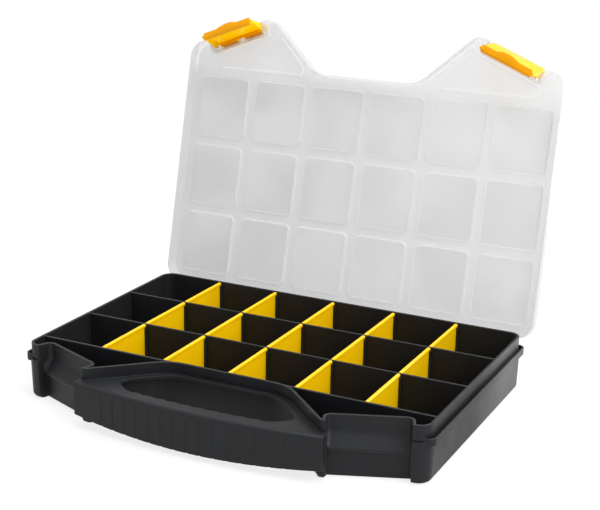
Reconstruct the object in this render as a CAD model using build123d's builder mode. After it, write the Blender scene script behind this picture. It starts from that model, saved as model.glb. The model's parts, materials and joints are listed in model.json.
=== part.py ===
from build123d import *
from math import atan2, cos, degrees, hypot, radians, sin
import os

os.makedirs("parts", exist_ok=True)

# All sizes are millimetres and angles are degrees.
# The origin is on the underside, at the middle of the compartment grid.
# X runs along the long side, the handle is at the front on -Y, and Z points up.

# Compartment grid
columns = 6
rows = 3
column_pitch = 55.6
row_pitch = 61.5

# Tray walls
tray_height = 44
wall = 2
rib_wall = 1.8
floor_thickness = 1.8
rib_below_rim = 0.6
ledge_height = 31.5
ledge_step = 1
body_draft = 1.5
body_radius = 3.5
base_radius = 1.2

# Tray outline in plan, right half
well_half = 49.6
tip_half = 96.7
tip_reach = 43.6
post_flat = 12.5
post_reach = 20.7
well_radius = 30
tip_radius = 6
post_radius = 8
front_radius = 10
back_radius = 10

# Gutter flange along the two sides
flange_reach = 3.8
flange_front = 19
flange_back = 1.5
flange_radius = 6
flange_floor = 2
gutter_depth = 3.4
flange_lip = 1.4

# Latch recess in each front corner, measured along and square to the slanted front edge
recess_shift = 2.3
recess_half = 29.7
recess_depth = 11
recess_clear = 30
skirt_depth = 6
lip_depth = 4
lip_height = 22
lip_thickness = 2
recess_radius = 4
shelf_round = 6
pocket_top = 24
nub_radius = 3.4
nub_inset = 5
nub_edge = 1.5
foot_gap_height = 1.8
foot_gap_depth = 0.9

# Carry handle
handle_half = 101.8
handle_end_reach = 50.2
handle_bow = 8.8
handle_top = 35
handle_bottom = 4
handle_lift = 5.5
handle_wall = 2.2
handle_round = 3
grip_width = 12
hole_side_half = 76
hole_front_half = 60
hole_radius = 8
ledge_back = 3.4
ledge_side = 5.5
web_overlap = 1.2
flute_pitch = 10.7
flute_count = 15
flute_radius = 2
flute_depth = 0.45
finger_radius = 7
finger_depth = 0.9
groove_inset = 3.8
groove_length = 38
groove_width = 0.7
groove_depth = 0.5

# Removable dividers and the rails that hold them
divider_wall = 1.4
divider_slot_gap = 0.2
divider_end_gap = 0.3
divider_floor_gap = 0.3
bead_wall = 2.8
bead_height = 2.6
rail_wall = 1.2
rail_reach = 1.8
rail_below_bead = 0.3
bead_round = 0.9

# Lid
lid_top = 49
lid_plate = 1.8
lid_overhang = 5.2
lid_skirt = 1.6
lid_seat_gap = 0.3
lid_edge_radius = 2.4
pad_width = 48.6
pad_length = 54.2
pad_radius = 5
pad_depth = 2
pad_draft = 25
ear_pad_inner = 7
ear_pad_outer = 6.5
ear_pad_tip = 5
ear_pad_edge = 10.5
ear_pad_back = 3.2

# Lid hinge
hinge_stations = (0.75, 2.25)
hinge_y = 99
hinge_z = 35.5
open_angle = 103.5
pin_radius = 1.6
pin_gap = 0.08
pin_length = 22
clip_radius = 3
clip_length = 18
clip_mouth = 2.6
ear_wall = 3
ear_root = 9
ear_gap = 0.6
stop_thickness = 2
stop_gap = 0.15

# Latches
latch_half = 25
latch_side_gap = 0.7
latch_axis_depth = 7.5
latch_axis_drop = 3.4
latch_rod_radius = 1.5
latch_rod_gap = 0.08
knuckle_radius = 3
knuckle_length = 17
knuckle_mouth = 2.4
lug_radius = 2.8
lug_wall = 3
notch_reach = 11
latch_wall = 1.6
latch_cap = 2
latch_cap_gap = 0.6
hook_gap = 0.4
hook_thickness = 2.2
hook_reach = 1.6
latch_rest_left = 15
latch_round = 1.2
knuckle_mouth_angle = 45

# Wavy grip line of a latch: share of its half length, then how far in from the lid's edge
latch_wave = ((-1, 7), (-0.72, 6.9), (-0.5, 5.8), (-0.28, 3.1), (0, 2.2), (0.3, 3.4), (0.6, 5.6), (1, 6.4))

# How far a cut or a root runs past the face it meets
overrun = 1

# Faces and lines that follow from the sizes above
half_width = columns * column_pitch / 2
back_face = rows * row_pitch / 2 + wall / 2
well_face = -back_face
rib_top = tray_height - rib_below_rim
skirt_bottom = ledge_height + gutter_depth + lid_seat_gap
station_x = [(i - columns / 2) * column_pitch for i in range(1, columns)]
rib_y = [row_pitch / 2 * (rows - 2 * i) for i in range(1, rows)]
hinge_x = [side * share * column_pitch for side in (-1, 1) for share in hinge_stations]
tip = Vector(tip_half, well_face - tip_reach)
post = Vector(half_width - post_flat, well_face - post_reach)
slant = degrees(atan2(post.Y - tip.Y, post.X - tip.X))
along = Vector(cos(radians(slant)), sin(radians(slant)), 0)
inward = Vector(-along.Y, along.X, 0)
front_mid = (tip + post) * 0.5 + along * recess_shift

# Frames on the slanted front edge: one lies flat, one stands square to the edge.
front_flat = Plane(origin=front_mid, x_dir=along, z_dir=(0, 0, 1))
front_section = Plane(origin=front_mid, x_dir=inward, z_dir=along)
lid_edge_mid = front_mid - inward * lid_overhang
edge_flat = Plane(origin=lid_edge_mid, x_dir=along, z_dir=(0, 0, 1))
edge_section = Plane(origin=lid_edge_mid, x_dir=inward, z_dir=along)

# The plan outline that the tray walls and the lid both follow
with BuildSketch() as plan:
    with BuildLine():
        FilletPolyline(
            (0, well_face),
            (well_half, well_face),
            (tip.X, tip.Y),
            (post.X, post.Y),
            (half_width, post.Y),
            (half_width, back_face),
            (0, back_face),
            radius=[well_radius, tip_radius, post_radius, front_radius, back_radius],
        )
        mirror(about=Plane.YZ)
    make_face()


def edge_slot_on(flat, half, depth, radius):
    # A rounded slot that runs in from the slanted front edge
    with BuildSketch(flat, mode=Mode.PRIVATE) as slot:
        with Locations((0, (depth - recess_clear) / 2)):
            Rectangle(2 * half, depth + recess_clear)
        fillet(slot.vertices().group_by(Axis.Y)[-1], radius)
    return slot.sketch


def recess_floor(half, depth, radius):
    return edge_slot_on(front_flat, half, depth, radius)


def edge_slot(half, depth, radius):
    return edge_slot_on(edge_flat, half, depth, radius)


def ear_pad_sketch(grow):
    # The three-cornered pads over the two front compartments
    base = well_face - ear_pad_back
    corner = post - along * ear_pad_outer + inward * ear_pad_edge
    peak = tip - along * ear_pad_tip + inward * ear_pad_edge
    with BuildSketch(mode=Mode.PRIVATE) as ear:
        with BuildLine():
            Polyline(
                (well_half + ear_pad_inner, base),
                (peak.X, peak.Y),
                (corner.X, corner.Y),
                (half_width - ear_pad_outer, base),
                close=True,
            )
        make_face()
        fillet(ear.vertices(), pad_radius)
        offset(amount=grow)
        mirror(about=Plane.YZ)
    return ear.sketch


# Latch recess: an upper wall, a shelf that slopes down to the lip, and a lower wall under the lip
with BuildPart() as recess:
    with BuildSketch(front_section.offset(-recess_half)) as profile:
        with BuildLine():
            Polyline(
                (skirt_depth + base_radius, 0),
                (skirt_depth + base_radius, -overrun),
                (-recess_clear, -overrun),
                (-recess_clear, tray_height + overrun),
                (recess_depth, tray_height + overrun),
                (recess_depth, ledge_height),
                (lip_depth, lip_height),
                (lip_depth, lip_height - lip_thickness),
                (skirt_depth, lip_height - lip_thickness),
                (skirt_depth, base_radius),
            )
            RadiusArc((skirt_depth, base_radius), (skirt_depth + base_radius, 0), base_radius)
        make_face()
        # the upper wall runs into the sloping shelf in a soft curve
        fillet(profile.vertices().sort_by(Axis.Y)[-3], shelf_round)
    extrude(amount=2 * recess_half)
    upper_corners = recess.edges().filter_by(Axis.Z).group_by(Axis.Z)[-1]
    fillet(upper_corners, recess_radius)
    mirror(about=Plane.YZ)

# Solid nub at the foot of each tip, between the handle and the recess
nub_at = tip + along * nub_radius / 2 + inward * nub_inset
with BuildPart() as nub:
    with Locations(nub_at):
        Cylinder(nub_radius, lip_height - lip_thickness, align=(Align.CENTER, Align.CENTER, Align.MIN))
    fillet(nub.edges().group_by(Axis.Z)[0], nub_edge)
    mirror(about=Plane.YZ)

# Carry handle: a bowed bar with a triangular web at each end, hollow from below.
# Its top plate runs on round the well as a narrow ledge.
handle_end = well_face - handle_end_reach
handle_front = handle_end - handle_bow
hole_front = handle_front + grip_width


def bow_rise(x):
    # How far the bow falls back from its middle at this distance along the handle
    return handle_bow * (x / handle_half) ** 2


diagonal = (tip - Vector(well_half, well_face)).normalized()
into_wall = Vector(-diagonal.Y, diagonal.X) * web_overlap
root = Vector(well_half, well_face) + into_wall
with BuildSketch() as handle_plan:
    with BuildLine():
        ThreePointArc((-handle_half, handle_end), (0, handle_front), (handle_half, handle_end))
        Polyline(
            (handle_half, handle_end),
            (handle_half, tip.Y + web_overlap),
            (tip.X + into_wall.X, tip.Y + into_wall.Y),
            (root.X, root.Y),
            (-root.X, root.Y),
            (-tip.X - into_wall.X, tip.Y + into_wall.Y),
            (-handle_half, tip.Y + web_overlap),
            (-handle_half, handle_end),
        )
    make_face()
hole_corner = hole_front + bow_rise(hole_front_half)
out_of_wall = -into_wall.normalized()
ledge_start = Vector(well_half, well_face) + out_of_wall * ledge_side
to_back = (ledge_start.Y - well_face + ledge_back) / diagonal.Y
hole_back = ledge_start - diagonal * to_back
hole_side = hole_back + diagonal * ((hole_side_half - hole_back.X) / diagonal.X)
with BuildSketch() as hole_plan:
    with BuildLine():
        ThreePointArc((-hole_front_half, hole_corner), (0, hole_front), (hole_front_half, hole_corner))
        Polyline(
            (hole_front_half, hole_corner),
            (hole_side.X, hole_side.Y),
            (hole_back.X, hole_back.Y),
            (-hole_back.X, hole_back.Y),
            (-hole_side.X, hole_side.Y),
            (-hole_front_half, hole_corner),
        )
    make_face()
    front_corners, side_corners, back_corners = hole_plan.vertices().group_by(Axis.Y)
    fillet(front_corners + side_corners, hole_radius)
    fillet(hole_plan.vertices().group_by(Axis.Y)[-1], well_radius - ledge_side)
under_side = hole_side - out_of_wall * (ledge_side + web_overlap)
with BuildSketch() as under_ledge:
    with BuildLine():
        Polyline(
            (hole_side.X, hole_side.Y),
            (under_side.X, under_side.Y),
            (root.X, root.Y),
            (-root.X, root.Y),
            (-under_side.X, under_side.Y),
            (-hole_side.X, hole_side.Y),
            close=True,
        )
    make_face()
with BuildSketch() as top_plan:
    add(handle_plan.sketch)
    add(hole_plan.sketch, mode=Mode.SUBTRACT)
with BuildSketch() as ring_plan:
    add(top_plan.sketch)
    add(under_ledge.sketch, mode=Mode.SUBTRACT)
with BuildPart() as handle:
    with BuildSketch(Plane.XY.offset(handle_bottom)):
        add(ring_plan.sketch)
    extrude(amount=handle_top - handle_bottom)
    with BuildSketch(Plane.XY.offset(handle_top - handle_wall)):
        add(top_plan.sketch)
    extrude(amount=handle_wall)
    front_edge = handle.edges().group_by(Axis.Z)[-1].sort_by(Axis.Y)[0]
    fillet(front_edge, handle_round)
    # the underside rises towards both ends
    with BuildSketch(Plane.XZ.offset(-well_face)):
        with BuildLine():
            ThreePointArc(
                (-handle_half, handle_bottom + handle_lift),
                (0, handle_bottom),
                (handle_half, handle_bottom + handle_lift),
            )
            Polyline(
                (handle_half, handle_bottom + handle_lift),
                (handle_half, 0),
                (-handle_half, 0),
                (-handle_half, handle_bottom + handle_lift),
            )
        make_face()
    extrude(amount=-well_face, mode=Mode.SUBTRACT)
    # hollow from below, with a wall all round and a closed top
    with BuildSketch():
        add(ring_plan.sketch)
        offset(amount=-handle_wall)
    extrude(amount=handle_top - handle_wall, mode=Mode.SUBTRACT)
    # upright flutes on the front face and finger hollows on the inner face
    flute_x = [(i - (flute_count - 1) / 2) * flute_pitch for i in range(flute_count)]
    with BuildSketch(Plane.XY):
        with Locations([
            (x, handle_front + bow_rise(x) + flute_depth - flute_radius)
            for x in flute_x
        ]):
            Circle(flute_radius)
    extrude(amount=handle_top - handle_round, mode=Mode.SUBTRACT)
    with BuildSketch(Plane.XY):
        with Locations([
            (x, hole_front + bow_rise(x) - finger_depth + finger_radius)
            for x in flute_x if abs(x) < hole_front_half - flute_pitch / 2
        ]):
            Circle(finger_radius)
    extrude(amount=handle_top, mode=Mode.SUBTRACT)
    # a fine groove near each end of the top, just behind the rounded front edge
    groove_x = handle_half - groove_length / 2
    groove_y = handle_front + bow_rise(groove_x) + groove_inset
    groove_turn = degrees(2 * bow_rise(groove_x) / groove_x)
    with BuildSketch(Plane.XY.offset(handle_top)):
        with Locations([Location((s * groove_x, groove_y, 0), (0, 0, s * groove_turn)) for s in (-1, 1)]):
            SlotOverall(groove_length, groove_width)
    extrude(amount=-groove_depth, mode=Mode.SUBTRACT)

# Tray
with BuildPart() as tray:
    # lower body, just outside the rim, drawn in slightly towards the base
    with BuildSketch(Plane.XY.offset(ledge_height)):
        add(plan.sketch)
        offset(amount=ledge_step)
    extrude(amount=-ledge_height, taper=body_draft)
    fillet(tray.faces().sort_by(Axis.Z)[0].outer_wire().edges(), body_radius)
    # gutter flange along the sides, with its upturned lip
    flange_width = 2 * (half_width + flange_reach)
    flange_length = 2 * back_face + flange_front - flange_back
    flange_y = (flange_back + flange_front) / -2
    with BuildSketch(mode=Mode.PRIVATE) as well_gap:
        with Locations((0, well_face)):
            Rectangle(2 * tip_half, 2 * flange_front, align=(Align.CENTER, Align.MAX))
    floor_bottom = ledge_height - flange_floor
    with BuildSketch(Plane.XY.offset(floor_bottom)):
        with Locations((0, flange_y)):
            RectangleRounded(flange_width, flange_length, flange_radius)
        add(well_gap.sketch, mode=Mode.SUBTRACT)
    extrude(amount=flange_floor)
    with BuildSketch(Plane.XY.offset(ledge_height)):
        with Locations((0, flange_y)):
            RectangleRounded(flange_width, flange_length, flange_radius)
        offset(amount=-flange_lip, mode=Mode.SUBTRACT)
        add(well_gap.sketch, mode=Mode.SUBTRACT)
    extrude(amount=gutter_depth)
    # upper wall up to the rim
    with BuildSketch(Plane.XY.offset(ledge_height)):
        add(plan.sketch)
    extrude(amount=tray_height - ledge_height)
    # a shadow gap where the front corner wall meets the ledge
    with BuildSketch(Plane.XY.offset(ledge_height)):
        with Locations([(s * half_width, post.Y) for s in (-1, 1)]):
            Rectangle(2 * post_flat + recess_depth, 2 * front_radius)
        add(plan.sketch, mode=Mode.INTERSECT)
        add(offset(plan.sketch, amount=-foot_gap_depth, mode=Mode.PRIVATE), mode=Mode.SUBTRACT)
    extrude(amount=foot_gap_height, mode=Mode.SUBTRACT)
    add(recess.part, mode=Mode.SUBTRACT)
    add(handle.part)
    add(nub.part)
    # inside of the compartments
    with BuildSketch(Plane.XY.offset(floor_thickness)):
        add(plan.sketch)
        offset(amount=-wall)
        behind_recess = recess_floor(recess_half + wall, recess_depth + wall, recess_radius + wall)
        add(behind_recess, mode=Mode.SUBTRACT)
        add(behind_recess.mirror(Plane.YZ), mode=Mode.SUBTRACT)
    extrude(amount=tray_height, mode=Mode.SUBTRACT)
    # hollow behind each lower recess wall, open underneath
    with BuildSketch():
        pocket = recess_floor(recess_half - wall, recess_depth, wall)
        pocket -= recess_floor(recess_half, skirt_depth + wall, wall)
        add(pocket)
        add(pocket.mirror(Plane.YZ))
    extrude(amount=pocket_top, mode=Mode.SUBTRACT)
    # long ribs between the rows, the front one closing off the front compartments
    with BuildSketch(Plane.XY.offset(floor_thickness)):
        with Locations([(0, y) for y in rib_y]):
            Rectangle(2 * half_width - wall, rib_wall)
        with Locations((0, well_face + wall / 2)):
            Rectangle(2 * half_width - wall, wall)
    extrude(amount=rib_top - floor_thickness)
    # pairs of upright rails that hold the divider ends
    rail_top = rib_top - bead_height - rail_below_bead
    rail_offset = divider_wall / 2 + divider_slot_gap + rail_wall / 2
    rail_x = [x + side * rail_offset for x in station_x for side in (-1, 1)]
    with BuildSketch(Plane.XY.offset(floor_thickness)):
        with Locations([(x, y) for x in rail_x for y in rib_y]):
            Rectangle(rail_wall, rib_wall + 2 * rail_reach)
        with Locations([(x, back_face - wall) for x in rail_x]):
            Rectangle(rail_wall, 2 * rail_reach)
        with Locations([(x, well_face + wall) for x in rail_x]):
            Rectangle(rail_wall, 2 * rail_reach)
    extrude(amount=rail_top - floor_thickness)
    # hinge brackets: two ears on the back wall with the pin moulded between them
    with BuildSketch(Plane.YZ) as ear_plan:
        with BuildLine():
            Polyline(
                (back_face - wall / 2, hinge_z - ear_root),
                (back_face + ledge_step, hinge_z - ear_root),
                (hinge_y + lug_radius, hinge_z),
                (hinge_y, hinge_z + lug_radius),
                (back_face - wall / 2, hinge_z + lug_radius),
                close=True,
            )
        make_face()
        with Locations((hinge_y, hinge_z)):
            Circle(lug_radius)
    with BuildSketch(Plane.YZ) as pin_plan:
        with Locations((hinge_y, hinge_z)):
            Circle(pin_radius)
    ear_shift = pin_length / 2 + ear_wall / 2
    for x in hinge_x:
        for ear_x in (x - ear_shift, x + ear_shift):
            extrude(ear_plan.sketch.moved(Location((ear_x - ear_wall / 2, 0, 0))), amount=ear_wall)
        pin_start = Location((x - pin_length / 2 - overrun, 0, 0))
        extrude(pin_plan.sketch.moved(pin_start), amount=pin_length + 2 * overrun)
tray.part.label = "tray"
export_step(tray.part, "parts/tray.step")

# Dividers: a thin plate with a thicker bead along its top edge
divider_floor = floor_thickness + divider_floor_gap
rib_faces = [y + side * rib_wall / 2 for y in rib_y for side in (1, -1)]
row_faces = [back_face - wall] + rib_faces + [well_face + wall]
for row, row_name in enumerate(("back", "middle", "front")):
    far_end = row_faces[2 * row] - divider_end_gap
    near_end = row_faces[2 * row + 1] + divider_end_gap
    with BuildSketch(Plane.XZ.offset(-far_end)) as plate_end:
        with Locations((0, (divider_floor + rib_top) / 2)):
            Rectangle(divider_wall, rib_top - divider_floor)
        with Locations((0, rib_top - bead_height / 2)):
            RectangleRounded(bead_wall, bead_height, bead_round)
    for number, x in enumerate(station_x, start=1):
        with BuildPart() as divider:
            extrude(plate_end.sketch.moved(Location((x, 0, 0))), amount=far_end - near_end)
        divider.part.label = f"divider_{row_name}_{number}"
        export_step(divider.part, f"parts/{divider.part.label}.step")

# Lid, drawn closed and then swung open about its hinge
hinge_line = Location((0, hinge_y, hinge_z))
lid_open = hinge_line * Location((0, 0, 0), (-open_angle, 0, 0)) * hinge_line.inverse()
plate_under = lid_top - lid_plate
latch_axis_z = lid_top - latch_axis_drop
# rods for the latches, carried by three lugs in each notch
notch_end = latch_half + latch_side_gap + lid_skirt / 2
end_lug = lug_wall + lid_skirt / 2
with BuildSketch(edge_section) as lug_plan:
    with Locations((latch_axis_depth, latch_axis_z)):
        Circle(lug_radius)
        web_length = notch_reach + lid_skirt / 2 - latch_axis_depth
        Rectangle(web_length, lug_radius, align=(Align.MIN, Align.CENTER))
with BuildSketch(edge_section) as rod_plan:
    with Locations((latch_axis_depth, latch_axis_z)):
        Circle(latch_rod_radius)
with BuildPart() as carriers:
    for start, length in ((-notch_end, end_lug), (-lug_wall / 2, lug_wall), (notch_end - end_lug, end_lug)):
        extrude(lug_plan.sketch.moved(Location(along * start)), amount=length)
    extrude(rod_plan.sketch.moved(Location(along * -notch_end)), amount=2 * notch_end)
    mirror(about=Plane.YZ)
with BuildPart() as lid_closed:
    with BuildSketch(Plane.XY.offset(skirt_bottom)):
        add(plan.sketch)
        offset(amount=lid_overhang)
    extrude(amount=lid_top - skirt_bottom)
    fillet(lid_closed.faces().sort_by(Axis.Z)[-1].outer_wire().edges(), lid_edge_radius)
    with BuildSketch(Plane.XY.offset(skirt_bottom)):
        add(plan.sketch)
        offset(amount=lid_overhang - lid_skirt)
        behind_notch = edge_slot(latch_half + latch_side_gap + lid_skirt, notch_reach + lid_skirt, lid_skirt)
        add(behind_notch, mode=Mode.SUBTRACT)
        add(behind_notch.mirror(Plane.YZ), mode=Mode.SUBTRACT)
    extrude(amount=plate_under - skirt_bottom, mode=Mode.SUBTRACT)
    # a notch in each slanted edge for the latch
    with BuildSketch(Plane.XY.offset(skirt_bottom)):
        notch = edge_slot(latch_half + latch_side_gap, notch_reach, lid_skirt / 2)
        add(notch)
        add(notch.mirror(Plane.YZ))
    extrude(amount=lid_top, mode=Mode.SUBTRACT)
    # one shallow pad over each compartment, pressed inwards
    with BuildSketch(Plane.XY.offset(plate_under)):
        with GridLocations(column_pitch, row_pitch, columns, rows):
            RectangleRounded(pad_width, pad_length, pad_radius)
        add(ear_pad_sketch(0))
    extrude(amount=-pad_depth, taper=pad_draft)
    with BuildSketch(Plane.XY.offset(lid_top)):
        with GridLocations(column_pitch, row_pitch, columns, rows):
            RectangleRounded(pad_width - lid_plate, pad_length - lid_plate, pad_radius - lid_plate / 2)
        add(ear_pad_sketch(-lid_plate / 2))
    extrude(amount=-pad_depth, taper=pad_draft, mode=Mode.SUBTRACT)
    # hinge: the skirt is cut away over each bracket, and a clip reaches down to the pin
    lid_back = back_face + lid_overhang
    cut_top = hinge_z + lug_radius + ear_gap
    with BuildSketch(Plane.XY.offset(skirt_bottom)):
        with Locations([(x, lid_back) for x in hinge_x]):
            Rectangle(pin_length + 2 * ear_wall + 2 * ear_gap, 3 * lid_skirt)
    extrude(amount=cut_top - skirt_bottom, mode=Mode.SUBTRACT)
    with BuildSketch(Plane.YZ) as clip_plan:
        with Locations((lid_back - lid_skirt / 2, hinge_z)):
            Rectangle(lid_skirt, cut_top - hinge_z + lid_skirt, align=(Align.CENTER, Align.MIN))
        with Locations((hinge_y, hinge_z)):
            Circle(clip_radius)
            # the heel meets the back wall of the tray when the lid is fully open
            stop_reach = hinge_y - back_face - stop_gap
            with PolarLocations(stop_reach / 2, 1, start_angle=open_angle - 180):
                Rectangle(stop_reach, stop_thickness)
            Circle(pin_radius + pin_gap, mode=Mode.SUBTRACT)
            with Locations((clip_radius, 0)):
                Rectangle(2 * clip_radius, clip_mouth, mode=Mode.SUBTRACT)
    for x in hinge_x:
        extrude(clip_plan.sketch.moved(Location((x - clip_length / 2, 0, 0))), amount=clip_length)
    add(carriers.part)
with BuildPart() as lid:
    add(lid_closed.part.moved(lid_open))
lid.part.label = "lid"
export_step(lid.part, "parts/lid.step")

# Latches: a waisted cover that hangs from the rods and hooks under the tray's lip
hook_top = lip_height - lip_thickness - hook_gap
foot = hook_top - hook_thickness
cap_top = lid_top - latch_cap_gap
hook_depth = lip_depth + lid_overhang + hook_reach
inner_depth = lip_depth + lid_overhang - hook_gap


def cover_outline(height, shell):
    # Closed outline of the cover at one height: it waves most at the foot and is straight at the cap
    half = latch_half - shell
    wave = (cap_top - height) / (cap_top - foot)
    line = [(share * half, shell + wave * depth) for share, depth in latch_wave]
    with BuildSketch(edge_flat.offset(height)) as outline:
        with BuildLine():
            Spline(*line)
            Polyline(line[-1], (half, inner_depth + shell), (-half, inner_depth + shell), line[0])
        make_face()
    return outline.sketch


with BuildPart() as latch_latched:
    loft([cover_outline(foot, 0), cover_outline(cap_top, 0)])
    cap_edge = latch_latched.faces().sort_by(Axis.Z)[-1].edges().sort_by(Axis(front_mid, inward))[0]
    fillet(cap_edge, latch_round)
    hollow = [cover_outline(hook_top, latch_wall), cover_outline(cap_top - latch_cap, latch_wall)]
    loft(hollow, mode=Mode.SUBTRACT)
    # clearance round the lugs
    lug_clearance = lug_radius + ear_gap
    with BuildSketch(edge_section.offset(-latch_half - overrun)):
        with Locations((latch_axis_depth - lug_clearance, latch_axis_z - lug_clearance)):
            Rectangle(2 * notch_reach, 2 * notch_reach, align=(Align.MIN, Align.MIN))
    extrude(amount=2 * (latch_half + overrun), mode=Mode.SUBTRACT)
    # hook along the foot
    with BuildSketch(edge_section.offset(-latch_half + latch_wall)):
        with BuildLine():
            Polyline(
                (inner_depth / 2, foot),
                (inner_depth, foot),
                (hook_depth, foot + hook_thickness / 2),
                (hook_depth, hook_top),
                (inner_depth / 2, hook_top),
                close=True,
            )
        make_face()
    extrude(amount=2 * (latch_half - latch_wall))
    # open knuckles that snap over the rods
    bay_middle = (lug_wall / 2 + latch_half + latch_side_gap - lug_wall) / 2
    with BuildSketch(edge_section) as knuckle_plan:
        with Locations((latch_axis_depth, latch_axis_z)):
            Circle(knuckle_radius)
            with Locations((0, knuckle_radius - latch_cap)):
                Rectangle(latch_axis_depth - latch_wall, latch_cap, align=(Align.MAX, Align.MIN))
            Circle(latch_rod_radius + latch_rod_gap, mode=Mode.SUBTRACT)
            with Locations((knuckle_radius, -knuckle_radius)):
                with Locations(Location((0, 0, 0), (0, 0, -knuckle_mouth_angle))):
                    Rectangle(3 * knuckle_radius, knuckle_mouth, mode=Mode.SUBTRACT)
    for middle in (-bay_middle, bay_middle):
        extrude(knuckle_plan.sketch.moved(Location(along * (middle - knuckle_length / 2))), amount=knuckle_length)
latch_axis = Axis(lid_edge_mid + inward * latch_axis_depth + Vector(0, 0, latch_axis_z), along)
# the right latch hangs at its latched angle, the left one a little outward of it
with BuildPart() as latch_right:
    add(latch_latched.part.moved(lid_open))
latch_right.part.label = "latch_right"
export_step(latch_right.part, "parts/latch_right.step")
with BuildPart() as latch_left:
    add(latch_latched.part.rotate(latch_axis, -latch_rest_left).mirror(Plane.YZ).moved(lid_open))
latch_left.part.label = "latch_left"
export_step(latch_left.part, "parts/latch_left.step")
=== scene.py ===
import json
from math import cos, radians, sin

import bpy
from mathutils import Matrix, Vector

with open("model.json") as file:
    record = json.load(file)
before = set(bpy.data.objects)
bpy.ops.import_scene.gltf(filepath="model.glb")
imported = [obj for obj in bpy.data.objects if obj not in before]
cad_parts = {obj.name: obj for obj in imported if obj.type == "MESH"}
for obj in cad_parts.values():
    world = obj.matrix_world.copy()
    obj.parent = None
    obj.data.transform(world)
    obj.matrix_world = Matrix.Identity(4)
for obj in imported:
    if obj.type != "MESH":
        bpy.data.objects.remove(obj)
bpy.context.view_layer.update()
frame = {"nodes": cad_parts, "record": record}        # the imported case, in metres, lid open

nodes = frame["nodes"]
joints = frame["record"]["behaviour"]["joints"]
print("frame loaded, nodes:", len(nodes))

plasticIor = 1.49        # polypropylene, which every piece is made of
bevelSamples = 6


def hexToLinear(hexText):  # sRGB hex as typed, to the linear values a shader wants
    parts = [int(hexText[i:i + 2], 16) / 255 for i in (1, 3, 5)]
    linear = [v / 12.92 if v <= 0.04045 else ((v + 0.055) / 1.055) ** 2.4 for v in parts]
    return (*linear, 1.0)


# A node with its settings and what feeds it. A socket whose name is used twice goes by its number.
def addNode(tree, kind, settings=None, links=None):
    node = tree.nodes.new(kind)
    for key, value in (settings or {}).items():
        if isinstance(key, str) and hasattr(node, key):
            setattr(node, key, value)
        else:
            node.inputs[key].default_value = value
    for key, source in (links or {}).items():
        tree.links.new(source, node.inputs[key])
    return node


def startMaterial(name):
    material = bpy.data.materials.new(name)
    material.use_nodes = True
    material.node_tree.nodes.clear()
    return material, material.node_tree


def perMetre(sizeMm):  # texture scale for a pattern whose real size is given in mm
    return 1000 / sizeMm


def dress(names, material):
    for name in names:
        for materialSlot in nodes[name].material_slots:
            materialSlot.material = material


# Camera: placed by fitting the divider grid and the lid's pads to the picture
camera = {
    "place": (0.4556, -0.9015, 0.4196),
    "turn": 26.175,          # degrees round Z from looking along +Y
    "tilt": -17.031,         # degrees from level
    "roll": 0.918,           # degrees
    "lens": 81.13,           # mm
    "sensor": 36,            # mm wide
    "clip": (0.02, 60),      # metres
}


def makeCamera(values):
    data = bpy.data.cameras.new("photoCamera")
    data.lens = values["lens"]
    data.sensor_width = values["sensor"]
    data.clip_start, data.clip_end = values["clip"]
    holder = bpy.data.objects.new("photoCamera", data)
    bpy.context.scene.collection.objects.link(holder)
    holder.matrix_world = (
        Matrix.Translation(values["place"])
        @ Matrix.Rotation(radians(values["turn"]), 4, "Z")
        @ Matrix.Rotation(radians(90 + values["tilt"]), 4, "X")
        @ Matrix.Rotation(radians(values["roll"]), 4, "Z")
    )
    bpy.context.scene.camera = holder


makeCamera(camera)
print("camera placed")

# Light: two softboxes, a small lamp behind the lid and an even pale room,
# at a level where a colour renders about as it is written
studio = {
    "white": "#FFFFFF",      # of the room, and of the background where it is seen
    "roomLevel": 0.62,       # what the object is lit by
    "floorColour": "#F4F4F3",
    "floorGlow": 0.80,       # share of plain white in what is seen of the floor under the object
    "glowReach": (0.35, 1.3),   # metres over which that share rises to all of it
    "floorHalf": 9.0,        # metres
    "floorDrop": 0.0004,     # metres, so that the floor and the case's underside stay apart
    "boxes": [               # name, place, aim, width, height, watts
        ("keyBox", (2.9, -0.3, 2.6), (0, 0, 0.05), 2.7, 2.3, 122),
        ("topBox", (0.1, 0.1, 1.9), (0, 0.05, 0.05), 1.4, 1.2, 24),
        ("backBox", (0.30, 0.50, 0.16), (0.06, 0.13, 0.15), 0.24, 0.24, 1.75),
    ],
}


# 1 where the eye, a reflection or a view through the lid meets the background
def seenDirectly(tree):
    path = addNode(tree, "ShaderNodeLightPath")
    eyeOrGloss = addNode(tree, "ShaderNodeMath", {"operation": "MAXIMUM"},
                         {0: path.outputs["Is Camera Ray"], 1: path.outputs["Is Glossy Ray"]})
    anyView = addNode(tree, "ShaderNodeMath", {"operation": "MAXIMUM"},
                      {0: eyeOrGloss.outputs[0], 1: path.outputs["Is Transmission Ray"]})
    return anyView.outputs[0]


def makeRoom(values):
    world = bpy.data.worlds.new("paleRoom")
    bpy.context.scene.world = world
    world.use_nodes = True
    tree = world.node_tree
    tree.nodes.clear()
    white = hexToLinear(values["white"])
    lit = addNode(tree, "ShaderNodeBackground", {"Color": white, "Strength": values["roomLevel"]})
    plain = addNode(tree, "ShaderNodeBackground", {"Color": white, "Strength": 1.0})
    mix = addNode(tree, "ShaderNodeMixShader", {},
                  {0: seenDirectly(tree), 1: lit.outputs[0], 2: plain.outputs[0]})
    addNode(tree, "ShaderNodeOutputWorld", {}, {"Surface": mix.outputs[0]})


def makeBoxes(values):
    for name, place, aim, width, height, watts in values["boxes"]:
        data = bpy.data.lights.new(name, "AREA")
        data.shape = "RECTANGLE"
        data.size, data.size_y = width, height
        data.energy = watts
        lamp = bpy.data.objects.new(name, data)
        bpy.context.scene.collection.objects.link(lamp)
        lamp.location = place
        lamp.rotation_euler = (Vector(aim) - Vector(place)).to_track_quat("-Z", "Y").to_euler()


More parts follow.
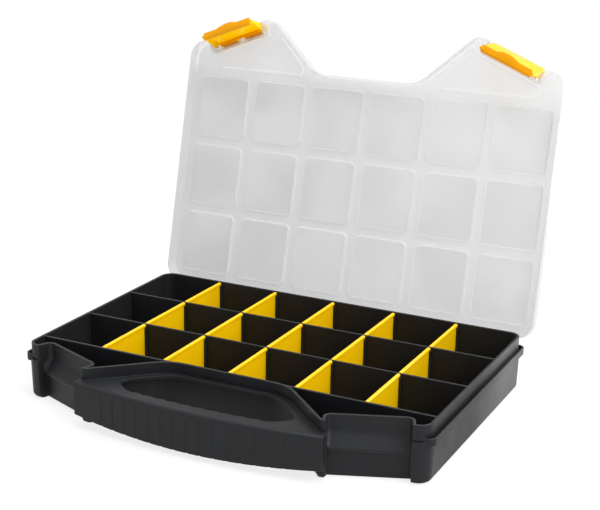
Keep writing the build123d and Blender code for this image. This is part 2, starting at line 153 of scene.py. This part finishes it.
def makeFloor(values):
    material, tree = startMaterial("floorPaper")  # matt paper sweep, pure white further out
    paper = addNode(tree, "ShaderNodeBsdfDiffuse", {"Color": hexToLinear(values["floorColour"])})
    glow = addNode(tree, "ShaderNodeEmission",
                   {"Color": hexToLinear(values["white"]), "Strength": 1.0})
    spot = addNode(tree, "ShaderNodeTexCoord").outputs["Object"]
    away = addNode(tree, "ShaderNodeVectorMath", {"operation": "LENGTH"}, {0: spot})
    near, far = values["glowReach"]
    white = addNode(tree, "ShaderNodeMapRange",
                    {"From Min": near, "From Max": far, "To Min": values["floorGlow"]},
                    {"Value": away.outputs["Value"]})
    share = addNode(tree, "ShaderNodeMath", {"operation": "MULTIPLY"},
                    {0: seenDirectly(tree), 1: white.outputs[0]})
    mix = addNode(tree, "ShaderNodeMixShader", {},
                  {0: share.outputs[0], 1: paper.outputs[0], 2: glow.outputs[0]})
    addNode(tree, "ShaderNodeOutputMaterial", {}, {"Surface": mix.outputs[0]})
    half = values["floorHalf"]
    corners = [(-half, -half, 0), (half, -half, 0), (half, half, 0), (-half, half, 0)]
    mesh = bpy.data.meshes.new("floor")
    mesh.from_pydata(corners, [], [(0, 1, 2, 3)])
    mesh.materials.append(material)
    floor = bpy.data.objects.new("floor", mesh)
    bpy.context.scene.collection.objects.link(floor)
    floor.location.z = -values["floorDrop"]


makeRoom(studio)
makeBoxes(studio)
makeFloor(studio)
print("studio lit")


# The normal rounded over an edge, and its cosine with the face's own, which falls at the edge
def roundedEdge(tree, edgeMm):
    edge = addNode(tree, "ShaderNodeBevel", {"samples": bevelSamples, "Radius": edgeMm / 1000})
    surface = addNode(tree, "ShaderNodeNewGeometry")
    facing = addNode(tree, "ShaderNodeVectorMath", {"operation": "DOT_PRODUCT"},
                     {0: edge.outputs[0], 1: surface.outputs["Normal"]})
    return edge.outputs[0], facing.outputs["Value"]


# Cosine between the way a face looks and a direction, both in the piece's own space
def looksToward(tree, direction):
    surface = addNode(tree, "ShaderNodeNewGeometry")
    turned = addNode(tree, "ShaderNodeVectorTransform",
                     {"vector_type": "NORMAL", "convert_from": "WORLD", "convert_to": "OBJECT"},
                     {0: surface.outputs["True Normal"]})
    cosine = addNode(tree, "ShaderNodeVectorMath", {"operation": "DOT_PRODUCT", 1: direction},
                     {0: turned.outputs[0]})
    return cosine.outputs["Value"]


# Tray: black polypropylene, injection moulded in a spark-eroded mould.
# Gives a deep charcoal with a fine matt grain, thin pale edges that are a painted highlight
# where the light catches, and a soft sheen at a glance.
trayFinish = {
    "colour": "#1B1C1E",
    "scuffColour": "#25272A",
    "scuffShare": 0.35,      # of the scuff colour, at most
    "scuffLevels": (0.5, 0.85),     # of the cloud, between which it comes in
    # painted highlight: a pale colour laid on the edges, where the light catches them
    "edgeHighlightColour": "#4E5153",
    "edgeMm": 0.45,
    "edgeCosines": (0.97, 0.76),    # of the edge's lean, between which its painted highlight comes in
    "roughness": (0.41, 0.53),
    "sheenLevels": (0.3, 0.7),      # of the cloud, between which the roughness rises
    "cloudMm": 38,
    "cloudDetail": 3.0,
    "grainMm": 0.55,         # real spark grain is 0.15, drawn coarser so that it shows
    "grainDetail": 2.0,
    "grainDepth": 0.03,      # mm
    "grainStrength": 0.6,
    "gloss": 0.21,           # specular level of the eroded skin
    "sideGloss": (0.19, 1.0),       # of the outer side walls, polished, most of all to the back
    "sideY": (-0.015, 0.055),       # metres over which that gloss rises
    "sideX": 0.1652,         # metres from the middle to just inside those walls
    "uprightCosine": 0.5,    # a face that looks up or down by less than this is a wall
}


def makeTrayFinish(values):
    material, tree = startMaterial("blackPolypropyleneMoulded")
    spot = addNode(tree, "ShaderNodeTexCoord").outputs["Object"]
    edge, facing = roundedEdge(tree, values["edgeMm"])
    rim = addNode(tree, "ShaderNodeMapRange",
                  {"From Min": values["edgeCosines"][0], "From Max": values["edgeCosines"][1]},
                  {"Value": facing})
    cloud = addNode(tree, "ShaderNodeTexNoise",
                    {"Scale": perMetre(values["cloudMm"]), "Detail": values["cloudDetail"]},
                    {"Vector": spot})
    scuff = addNode(tree, "ShaderNodeMapRange",
                    {"From Min": values["scuffLevels"][0], "From Max": values["scuffLevels"][1],
                     "To Max": values["scuffShare"]}, {"Value": cloud.outputs[0]})
    body = addNode(tree, "ShaderNodeMix",
                   {"data_type": "RGBA", 6: hexToLinear(values["colour"]),
                    7: hexToLinear(values["scuffColour"])}, {0: scuff.outputs[0]})
    # painted highlight: the pale edge colour is mixed over the body along the rounded edges
    edged = addNode(tree, "ShaderNodeMix",
                    {"data_type": "RGBA", 7: hexToLinear(values["edgeHighlightColour"])},
                    {0: rim.outputs[0], 6: body.outputs[2]})
    sheen = addNode(tree, "ShaderNodeMapRange",
                    {"From Min": values["sheenLevels"][0], "From Max": values["sheenLevels"][1],
                     "To Min": values["roughness"][0], "To Max": values["roughness"][1]},
                    {"Value": cloud.outputs[0]})
    grain = addNode(tree, "ShaderNodeTexNoise",
                    {"Scale": perMetre(values["grainMm"]), "Detail": values["grainDetail"]},
                    {"Vector": spot})
    bump = addNode(tree, "ShaderNodeBump",
                   {"Strength": values["grainStrength"],
                    "Distance": values["grainDepth"] / 1000},
                   {"Height": grain.outputs[0], "Normal": edge})
    # the outer side walls are the faces that stand upright at the tray's two sides
    place = addNode(tree, "ShaderNodeSeparateXYZ", {}, {0: spot})
    fromMiddle = addNode(tree, "ShaderNodeMath", {"operation": "ABSOLUTE"},
                         {0: place.outputs["X"]})
    atSide = addNode(tree, "ShaderNodeMath", {"operation": "GREATER_THAN", 1: values["sideX"]},
                     {0: fromMiddle.outputs[0]})
    surface = addNode(tree, "ShaderNodeNewGeometry")
    lean = addNode(tree, "ShaderNodeSeparateXYZ", {}, {0: surface.outputs["True Normal"]})
    leanEitherWay = addNode(tree, "ShaderNodeMath", {"operation": "ABSOLUTE"},
                            {0: lean.outputs["Z"]})
    isWall = addNode(tree, "ShaderNodeMath",
                     {"operation": "LESS_THAN", 1: values["uprightCosine"]},
                     {0: leanEitherWay.outputs[0]})
    onSide = addNode(tree, "ShaderNodeMath", {"operation": "MULTIPLY"},
                     {0: atSide.outputs[0], 1: isWall.outputs[0]})
    sideGloss = addNode(tree, "ShaderNodeMapRange",
                        {"From Min": values["sideY"][0], "From Max": values["sideY"][1],
                         "To Min": values["sideGloss"][0], "To Max": values["sideGloss"][1]},
                        {"Value": place.outputs["Y"]})
    gloss = addNode(tree, "ShaderNodeMapRange", {"To Min": values["gloss"]},
                    {"Value": onSide.outputs[0], "To Max": sideGloss.outputs[0]})
    skin = addNode(tree, "ShaderNodeBsdfPrincipled", {"IOR": plasticIor},
                   {"Base Color": edged.outputs[2], "Roughness": sheen.outputs[0],
                    "Normal": bump.outputs[0], "Specular IOR Level": gloss.outputs[0]})
    addNode(tree, "ShaderNodeOutputMaterial", {}, {"Surface": skin.outputs[0]})
    return material


dress(["tray"], makeTrayFinish(trayFinish))
print("tray dressed")

# Dividers: yellow polypropylene, injection moulded and polished.
# Gives a warm opaque yellow with a soft highlight, and lets a little light through its thin wall.
dividerFinish = {
    "colour": "#FFD300",
    "deepColour": "#FAC500",     # where the melt has flowed slowly
    "deepShare": 0.55,       # of the deep colour, at most
    "deepLevels": (0.35, 0.75),     # of the flow, between which it comes in
    "endShadeColour": "#FAC500",      # painted shade on the end faces that look to the front
    "endWay": (0, -1, 0),    # which way those look at rest
    "endCosines": (0.55, 0.8),      # how straight a face looks that way, for none and all of it
    "throughColour": "#FCCC00",
    "through": 0.16,         # share of light that passes the wall
    "roughness": (0.29, 0.40),
    "sheenLevels": (0.3, 0.7),      # of the flow, between which the roughness rises
    "gloss": 0.42,           # specular level
    "flowMm": 22,
    "flowDetail": 3.0,
    "flowTwist": 0.6,
    "grainMm": 0.9,          # a faint ripple in the polish, drawn coarse so that it shows
    "grainDetail": 2.0,
    "grainDepth": 0.02,      # mm
    "grainStrength": 0.35,
    "edgeMm": 0.4,
}
# Latches: the same plastic, moulded paler and smoother in an open shell.
# Gives a clear lemon yellow that half the light passes, so the shell glows from within.
latchFinish = dividerFinish | {
    "colour": "#FFDE1E",
    "deepColour": "#FFD314",
    "endShadeColour": "#E9B008",      # painted shade: the foot's end face, which looks to the front, is drawn a deeper yellow
    "throughColour": "#FFE61C",
    "through": 0.50,
    "roughness": (0.22, 0.33),
    "gloss": 0.28,
    "flowMm": 14,
    "edgeMm": 0.6,
}


def makeYellow(name, values):
    material, tree = startMaterial(name)
    spot = addNode(tree, "ShaderNodeTexCoord").outputs["Object"]
    flow = addNode(tree, "ShaderNodeTexNoise",
                   {"Scale": perMetre(values["flowMm"]), "Detail": values["flowDetail"],
                    "Distortion": values["flowTwist"]}, {"Vector": spot})
    tone = addNode(tree, "ShaderNodeMapRange",
                   {"From Min": values["deepLevels"][0], "From Max": values["deepLevels"][1],
                    "To Max": values["deepShare"]}, {"Value": flow.outputs[0]})
    body = addNode(tree, "ShaderNodeMix",
                   {"data_type": "RGBA", 6: hexToLinear(values["colour"]),
                    7: hexToLinear(values["deepColour"])}, {0: tone.outputs[0]})
    # painted shade: faces that look to the front take the deeper end colour, also in the light
    # that passes through
    atEnd = addNode(tree, "ShaderNodeMapRange",
                    {"From Min": values["endCosines"][0], "From Max": values["endCosines"][1]},
                    {"Value": looksToward(tree, values["endWay"])})
    ended = addNode(tree, "ShaderNodeMix",
                    {"data_type": "RGBA", 7: hexToLinear(values["endShadeColour"])},
                    {0: atEnd.outputs[0], 6: body.outputs[2]})
    throughEnded = addNode(tree, "ShaderNodeMix",
                           {"data_type": "RGBA", 6: hexToLinear(values["throughColour"]),
                            7: hexToLinear(values["endShadeColour"])}, {0: atEnd.outputs[0]})
    sheen = addNode(tree, "ShaderNodeMapRange",
                    {"From Min": values["sheenLevels"][0], "From Max": values["sheenLevels"][1],
                     "To Min": values["roughness"][0], "To Max": values["roughness"][1]},
                    {"Value": flow.outputs[0]})
    edge = addNode(tree, "ShaderNodeBevel",
                   {"samples": bevelSamples, "Radius": values["edgeMm"] / 1000})
    grain = addNode(tree, "ShaderNodeTexNoise",
                    {"Scale": perMetre(values["grainMm"]), "Detail": values["grainDetail"]},
                    {"Vector": spot})
    bump = addNode(tree, "ShaderNodeBump",
                   {"Strength": values["grainStrength"],
                    "Distance": values["grainDepth"] / 1000},
                   {"Height": grain.outputs[0], "Normal": edge.outputs[0]})
    skin = addNode(tree, "ShaderNodeBsdfPrincipled",
                   {"IOR": plasticIor, "Specular IOR Level": values["gloss"]},
                   {"Base Color": ended.outputs[2], "Roughness": sheen.outputs[0],
                    "Normal": bump.outputs[0]})
    through = addNode(tree, "ShaderNodeBsdfTranslucent", {}, {"Color": throughEnded.outputs[2]})
    mix = addNode(tree, "ShaderNodeMixShader", {0: values["through"]},
                  {1: skin.outputs[0], 2: through.outputs[0]})
    addNode(tree, "ShaderNodeOutputMaterial", {}, {"Surface": mix.outputs[0]})
    return material


dividers = [name for name in nodes if name.startswith("divider_")]
latches = [name for name in nodes if name.startswith("latch_")]
dress(dividers, makeYellow("yellowPolypropyleneDivider", dividerFinish))
dress(latches, makeYellow("yellowPolypropyleneLatch", latchFinish))
print("dividers and latches dressed")

# Lid: natural polypropylene, injection moulded with a frosted inner face.
# Gives a milky, half-clear sheet that blurs what is behind it, with bright lines
# where the wall bends, which are a painted white highlight.
lidFinish = {
    "colour": "#CECECF",
    "padColour": "#C2C2C4",
    "padTones": (0.76, 1.06),       # what the cloud multiplies the pads' colour by
    "toneLevels": (0.38, 0.62),     # of the cloud, between which it does
    "cloudMm": 70,
    "cloudDetail": 1.4,
    "cloudTwist": 0.3,
    "padMm": (2.8, 1.0),     # a pad lies deeper than this, seen from inside and from outside
    "plateMm": 5,            # what lies deeper than this is wall, not plate
    "flatCosine": 0.8,       # a face that looks out or in by more than this is flat
    # painted highlight: the white of the bright lines along the bends
    "edgeHighlightColour": "#FFFFFF",
    "edgeMm": 1.2,
    "bendCosines": (0.98, 0.90),    # of a bend's lean, between which its painted bright line comes in
    "roughness": (0.30, 0.44),
    "sheenLevels": (0.3, 0.7),      # of the cloud, between which the roughness rises
    "edgeRoughness": 0.18,
    "frostMm": 0.8,          # real frosting is 0.1, drawn coarser so that it shows
    "frostDetail": 2.0,
    "frostDepth": 0.03,      # mm
    "frostStrength": 0.3,
    "throughColour": "#DDDDDE",
    "through": 0.45,         # share that is scattered through, of what doesn't pass straight
    "clear": 0.30,           # share that passes straight through one face
    "edgeClear": 0.80,       # the same where the wall bends, which shows as a bright line
    "earClear": 0.51,        # the same on the ears, which are less frosted
    "earStepClear": 0.78,    # on the steps round the ears' pads
    "earSkirtClear": 0.52,   # and on the skirt of the ears
    # mm below the lid's far edge between which the finish changes to that of the ears:
    "earPadMm": (50, 46),    # the colour of the pads
    "earPadShare": 0.2,      # how much of it is left on the ears' three-cornered pads
    "earBendMm": (44, 34),   # the painted bright lines of the bends, which end there
    "earClearMm": (56, 40),  # how clear the faces are
}

lidHinge = next(joint for joint in joints if joint["name"] == "lid_hinge")
closedTurn = radians(lidHinge["range_deg"][0])    # from rest to closed
lidOut = Vector((0, sin(-closedTurn), cos(closedTurn)))    # outward from the lid, at rest
lidUp = Vector((0, -lidOut.z, lidOut.y))    # from the hinge to the lid's far edge
lidPoints = [Vector(vertex.co) for vertex in nodes["lid"].data.vertices]
lidFace = max(point.dot(lidOut) for point in lidPoints)
lidTip = max(point.dot(lidUp) for point in lidPoints)


def belowFace(depthMm):  # metres along lidOut
    return lidFace - depthMm / 1000


def belowTip(distanceMm):  # metres along lidUp
    return lidTip - distanceMm / 1000


def makeLidFinish(values):
    material, tree = startMaterial("naturalPolypropyleneFrosted")
    spot = addNode(tree, "ShaderNodeTexCoord").outputs["Object"]
    edge, facing = roundedEdge(tree, values["edgeMm"])
    cloud = addNode(tree, "ShaderNodeTexNoise",
                    {"Scale": perMetre(values["cloudMm"]), "Detail": values["cloudDetail"],
                     "Distortion": values["cloudTwist"]}, {"Vector": spot})

    # a pad is a flat part of the plate that is pressed in below the outer face
    level = addNode(tree, "ShaderNodeVectorMath", {"operation": "DOT_PRODUCT", 1: tuple(lidOut)},
                    {0: spot})
    outward = looksToward(tree, tuple(lidOut))
    isOuter = addNode(tree, "ShaderNodeMath", {"operation": "GREATER_THAN", 1: 0.0},
                      {0: outward})
    limit = addNode(tree, "ShaderNodeMapRange",
                    {"To Min": belowFace(values["padMm"][0]),
                     "To Max": belowFace(values["padMm"][1])}, {"Value": isOuter.outputs[0]})
    pressed = addNode(tree, "ShaderNodeMath", {"operation": "LESS_THAN"},
                      {0: level.outputs["Value"], 1: limit.outputs[0]})
    inPlate = addNode(tree, "ShaderNodeMath",
                      {"operation": "GREATER_THAN", 1: belowFace(values["plateMm"])},
                      {0: level.outputs["Value"]})
    eitherWay = addNode(tree, "ShaderNodeMath", {"operation": "ABSOLUTE"}, {0: outward})
    isFlat = addNode(tree, "ShaderNodeMath",
                     {"operation": "GREATER_THAN", 1: values["flatCosine"]},
                     {0: eitherWay.outputs[0]})
    flatPlate = addNode(tree, "ShaderNodeMath", {"operation": "MULTIPLY"},
                        {0: inPlate.outputs[0], 1: isFlat.outputs[0]})
    anyPad = addNode(tree, "ShaderNodeMath", {"operation": "MULTIPLY"},
                     {0: pressed.outputs[0], 1: flatPlate.outputs[0]})

    # the three-cornered pads on the ears are frosted like the frame, so they hardly stand out
    height = addNode(tree, "ShaderNodeVectorMath", {"operation": "DOT_PRODUCT", 1: tuple(lidUp)},
                     {0: spot}).outputs["Value"]
    padShare = addNode(tree, "ShaderNodeMapRange",
                       {"From Min": belowTip(values["earPadMm"][0]),
                        "From Max": belowTip(values["earPadMm"][1]),
                        "To Min": 1.0, "To Max": values["earPadShare"]}, {"Value": height})
    inPad = addNode(tree, "ShaderNodeMath", {"operation": "MULTIPLY"},
                    {0: anyPad.outputs[0], 1: padShare.outputs[0]})
    shade = addNode(tree, "ShaderNodeMix",
                    {"data_type": "RGBA", 6: hexToLinear(values["colour"]),
                     7: hexToLinear(values["padColour"])}, {0: inPad.outputs[0]})
    tone = addNode(tree, "ShaderNodeMapRange",
                   {"From Min": values["toneLevels"][0], "From Max": values["toneLevels"][1],
                    "To Min": values["padTones"][0], "To Max": values["padTones"][1]},
                   {"Value": cloud.outputs[0]})
    padTone = addNode(tree, "ShaderNodeMapRange", {"To Min": 1.0},
                      {"Value": inPad.outputs[0], "To Max": tone.outputs[0]})
    clouded = addNode(tree, "ShaderNodeMix",
                      {"data_type": "RGBA", "blend_type": "MULTIPLY", 0: 1.0},
                      {6: shade.outputs[2], 7: padTone.outputs[0]})

    # painted highlight: the bends are drawn white below the ears
    bend = addNode(tree, "ShaderNodeMapRange",
                   {"From Min": values["bendCosines"][0], "From Max": values["bendCosines"][1]},
                   {"Value": facing})
    belowEars = addNode(tree, "ShaderNodeMapRange",
                        {"From Min": belowTip(values["earBendMm"][0]),
                         "From Max": belowTip(values["earBendMm"][1]),
                         "To Min": 1.0, "To Max": 0.0}, {"Value": height})
    rim = addNode(tree, "ShaderNodeMath", {"operation": "MULTIPLY"},
                  {0: bend.outputs[0], 1: belowEars.outputs[0]})
    body = addNode(tree, "ShaderNodeMix",
                   {"data_type": "RGBA", 7: hexToLinear(values["edgeHighlightColour"])},
                   {0: rim.outputs[0], 6: clouded.outputs[2]})

    # frosted all over, but the bends are smooth from the mould and glint
    frost = addNode(tree, "ShaderNodeTexNoise",
                    {"Scale": perMetre(values["frostMm"]), "Detail": values["frostDetail"]},
                    {"Vector": spot})
    bump = addNode(tree, "ShaderNodeBump",
                   {"Strength": values["frostStrength"],
                    "Distance": values["frostDepth"] / 1000},
                   {"Height": frost.outputs[0], "Normal": edge})
    frostSheen = addNode(tree, "ShaderNodeMapRange",
                         {"From Min": values["sheenLevels"][0],
                          "From Max": values["sheenLevels"][1],
                          "To Min": values["roughness"][0], "To Max": values["roughness"][1]},
                         {"Value": cloud.outputs[0]})
    sheen = addNode(tree, "ShaderNodeMapRange", {"To Max": values["edgeRoughness"]},
                    {"Value": rim.outputs[0], "To Min": frostSheen.outputs[0]})
    skin = addNode(tree, "ShaderNodeBsdfPrincipled", {"IOR": plasticIor},
                   {"Base Color": body.outputs[2], "Roughness": sheen.outputs[0],
                    "Normal": bump.outputs[0]})
    scatter = addNode(tree, "ShaderNodeBsdfTranslucent",
                      {"Color": hexToLinear(values["throughColour"])},
                      {"Normal": bump.outputs[0]})
    milk = addNode(tree, "ShaderNodeMixShader", {0: values["through"]},
                   {1: skin.outputs[0], 2: scatter.outputs[0]})

    # what passes straight through: more on the ears, most at the bends
    onEar = addNode(tree, "ShaderNodeMapRange",
                    {"From Min": belowTip(values["earClearMm"][0]),
                     "From Max": belowTip(values["earClearMm"][1])}, {"Value": height})
    earWallClear = addNode(tree, "ShaderNodeMapRange",
                           {"To Min": values["earSkirtClear"], "To Max": values["earStepClear"]},
                           {"Value": inPlate.outputs[0]})
    earClear = addNode(tree, "ShaderNodeMapRange", {"To Max": values["earClear"]},
                       {"Value": isFlat.outputs[0], "To Min": earWallClear.outputs[0]})
    faceClear = addNode(tree, "ShaderNodeMapRange", {"To Min": values["clear"]},
                        {"Value": onEar.outputs[0], "To Max": earClear.outputs[0]})
    passing = addNode(tree, "ShaderNodeMapRange", {"To Max": values["edgeClear"]},
                      {"Value": rim.outputs[0], "To Min": faceClear.outputs[0]})
    clear = addNode(tree, "ShaderNodeBsdfTransparent", {"Color": (1, 1, 1, 1)})
    mix = addNode(tree, "ShaderNodeMixShader", {},
                  {0: passing.outputs[0], 1: milk.outputs[0], 2: clear.outputs[0]})
    addNode(tree, "ShaderNodeOutputMaterial", {}, {"Surface": mix.outputs[0]})
    return material


dress(["lid"], makeLidFinish(lidFinish))
print("lid dressed")

bpy.context.scene.view_settings.view_transform = "Standard"
